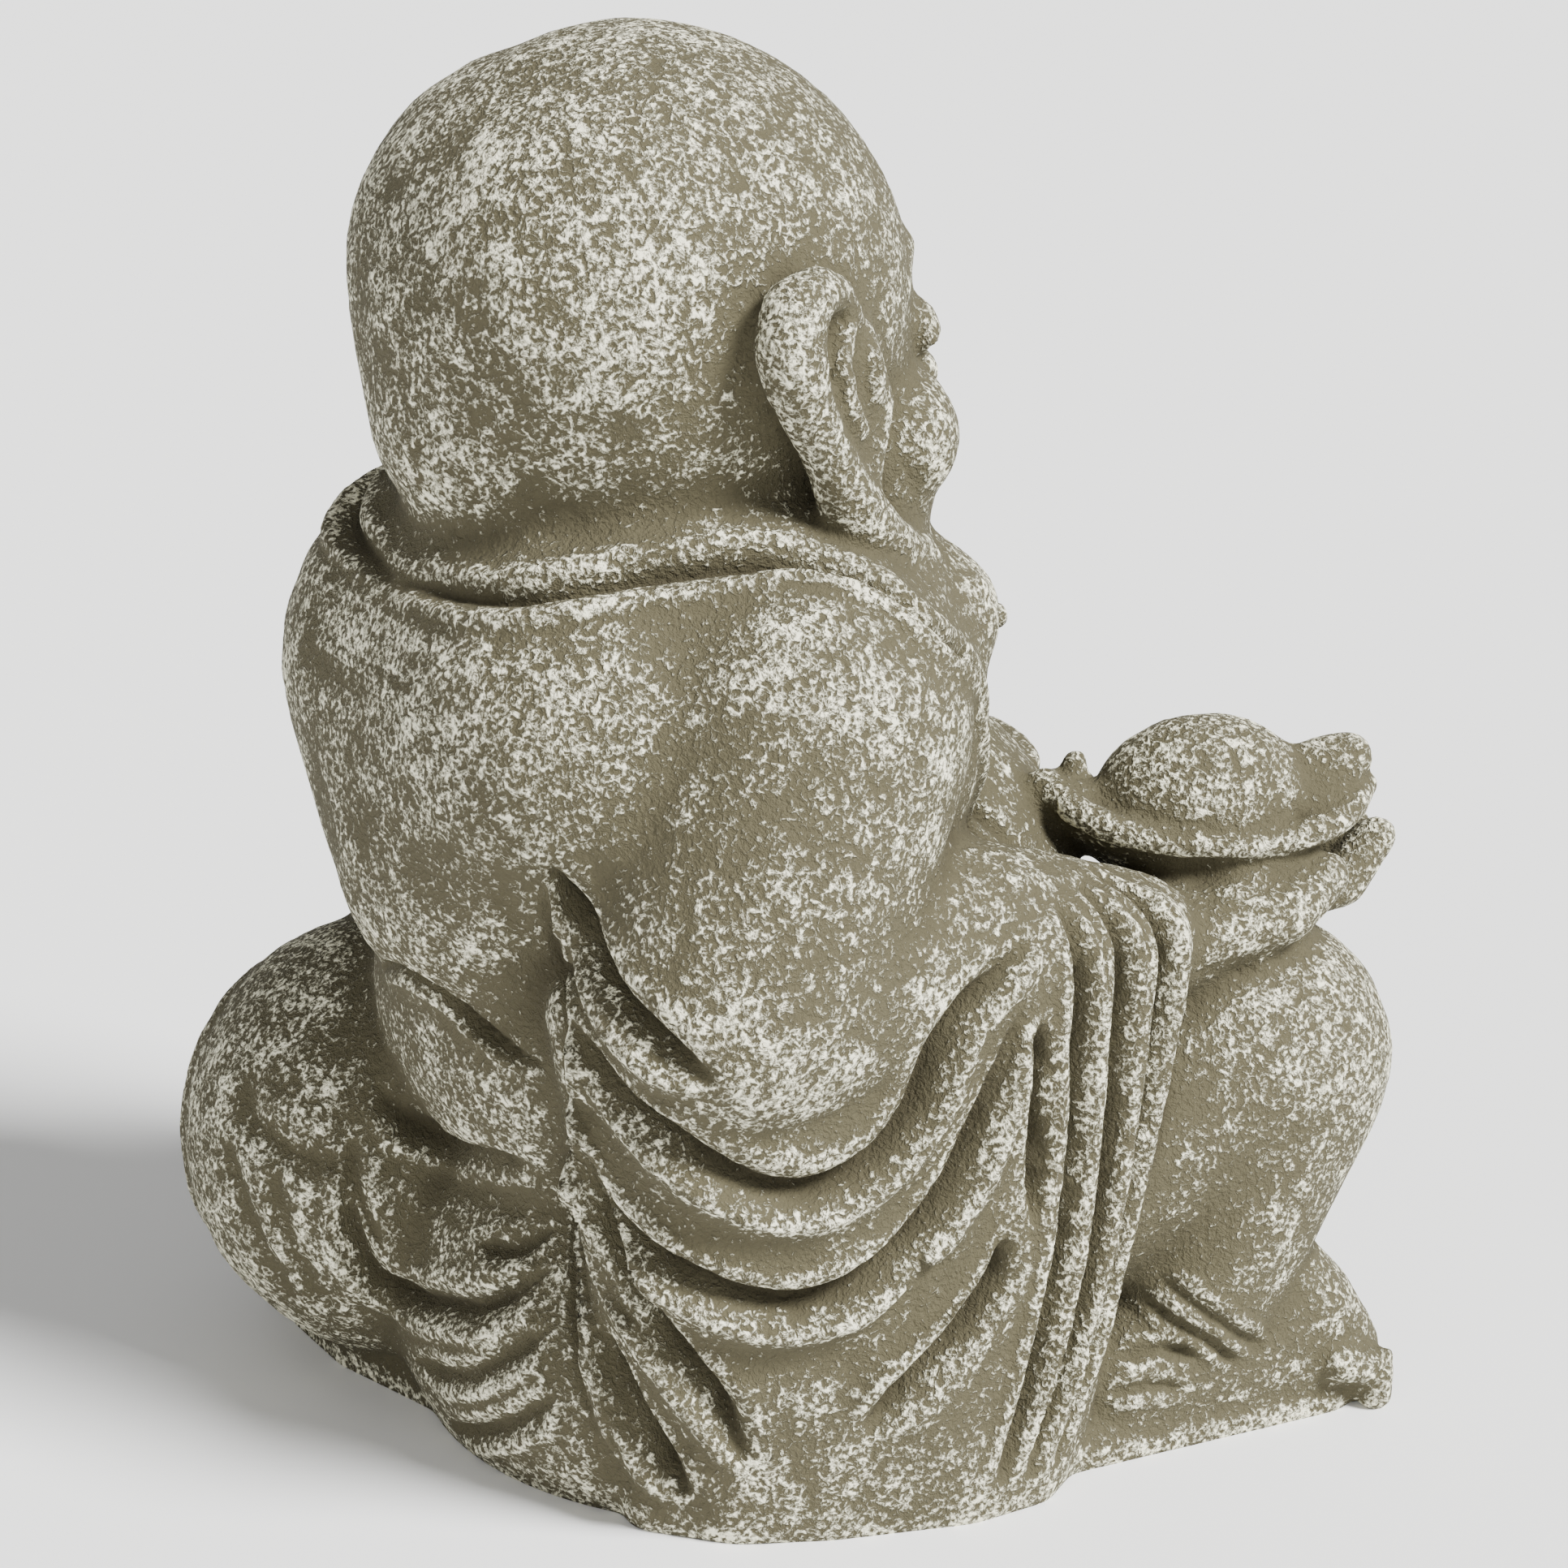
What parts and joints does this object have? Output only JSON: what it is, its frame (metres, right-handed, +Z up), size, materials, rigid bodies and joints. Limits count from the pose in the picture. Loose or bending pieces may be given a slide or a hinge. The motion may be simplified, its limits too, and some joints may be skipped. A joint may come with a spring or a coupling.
{
  "type": "laughing buddha statue",
  "caption": "Small seated laughing buddha cast in stone: knee raised, ingot on the open palm, sack behind, low ground below.",
  "frame": {"origin": "middle of the bounding box of the flat underside, on the surface that the statue stands on", "axes": "+Z up from the ground to the crown; the figure faces -Y; its right hand is on -X"},
  "size_m": [0.0824, 0.0923, 0.1204],
  "materials": {
    "cast_stone": "rough, sandy, with worn off-white paint on the high grain"
  },
  "bodies": {
    "root": {"statue": "cast_stone"}
  },
  "joints": []
}
